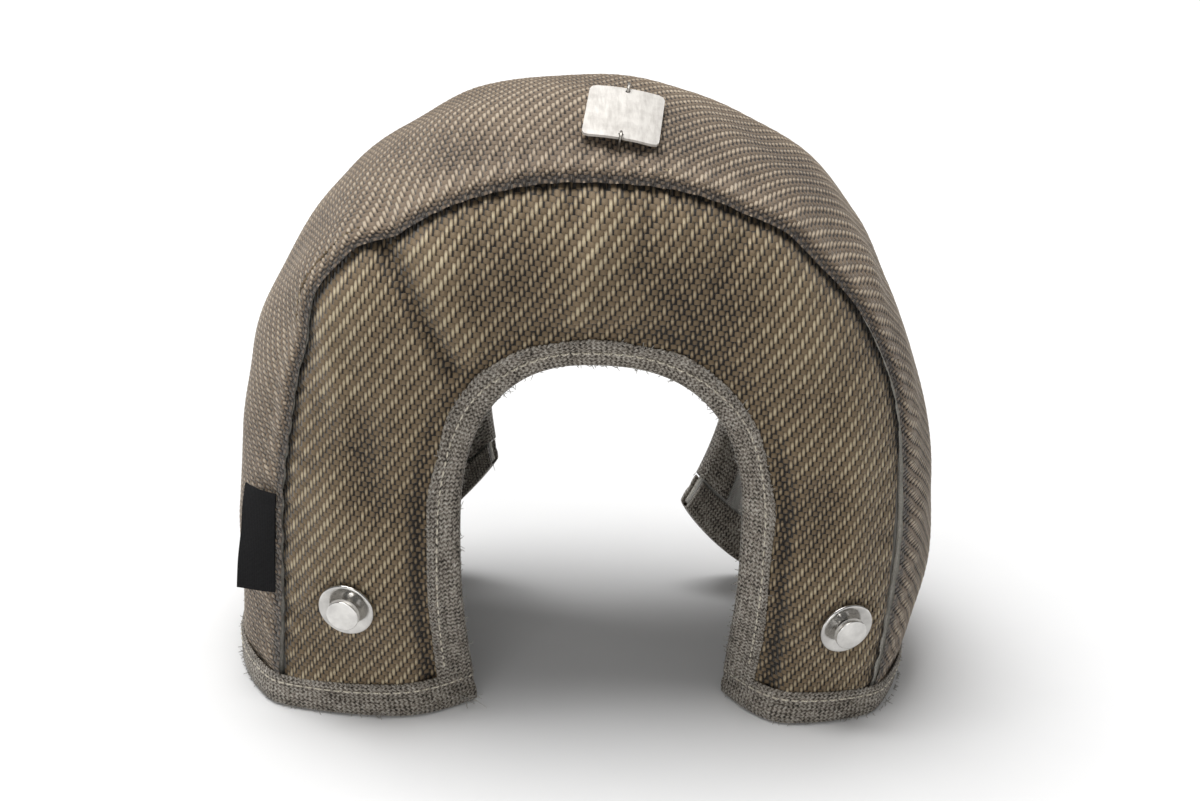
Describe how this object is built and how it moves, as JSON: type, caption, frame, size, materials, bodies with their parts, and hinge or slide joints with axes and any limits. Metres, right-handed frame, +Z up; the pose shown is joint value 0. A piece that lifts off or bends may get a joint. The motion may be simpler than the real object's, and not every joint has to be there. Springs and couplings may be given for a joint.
{
  "type": "turbo heat blanket",
  "caption": "Padded horseshoe-shaped heat blanket of woven mineral cloth with a knitted wire binding, lacing studs, a blank plate and a side label.",
  "frame": {"origin": "middle of the part's footprint on the surface that it stands on", "axes": "+X to the right seen from the front opening, +Y from the front face to the rear face, +Z up"},
  "size_m": [0.2216, 0.1268, 0.1911],
  "materials": {
    "outer_cloth": "woven mineral fibre cloth, 2/2 twill, tan-brown with dark hollows between the tows",
    "insulation_mat": "needled glass fibre mat, off-white",
    "inner_lining": "plain silica cloth, light grey",
    "binding": "knitted stainless wire tape, grey melange with a dull glint",
    "stud_steel": "polished stainless steel, finely turned end face",
    "washer_steel": "polished dished stainless steel",
    "tag_plate": "thin satin plate, pale and slightly warm",
    "staple_wire": "bent wire",
    "label_tape": "fine black woven tape"
  },
  "bodies": {
    "root": {"front_outer_cloth": "outer_cloth", "front_insulation_mat": "insulation_mat", "front_inner_lining": "inner_lining", "crown_outer_cloth": "outer_cloth", "crown_insulation_mat": "insulation_mat", "crown_inner_lining": "inner_lining", "rear_outer_cloth": "outer_cloth", "rear_insulation_mat": "insulation_mat", "rear_inner_lining": "inner_lining", "front_opening_binding": "binding", "rear_opening_binding": "binding", "left_hem_binding": "binding", "right_hem_binding": "binding", "front_left_lacing_stud": "stud_steel", "front_left_cup_washer": "washer_steel", "front_left_backing_washer": "washer_steel", "front_right_lacing_stud": "stud_steel", "front_right_cup_washer": "washer_steel", "front_right_backing_washer": "washer_steel", "rear_left_lacing_stud": "stud_steel", "rear_left_cup_washer": "washer_steel", "rear_left_backing_washer": "washer_steel", "rear_right_lacing_stud": "stud_steel", "rear_right_cup_washer": "washer_steel", "rear_right_backing_washer": "washer_steel", "id_tag": "tag_plate", "tag_staple_front": "staple_wire", "tag_staple_rear": "staple_wire", "side_label": "label_tape"}
  },
  "joints": []
}
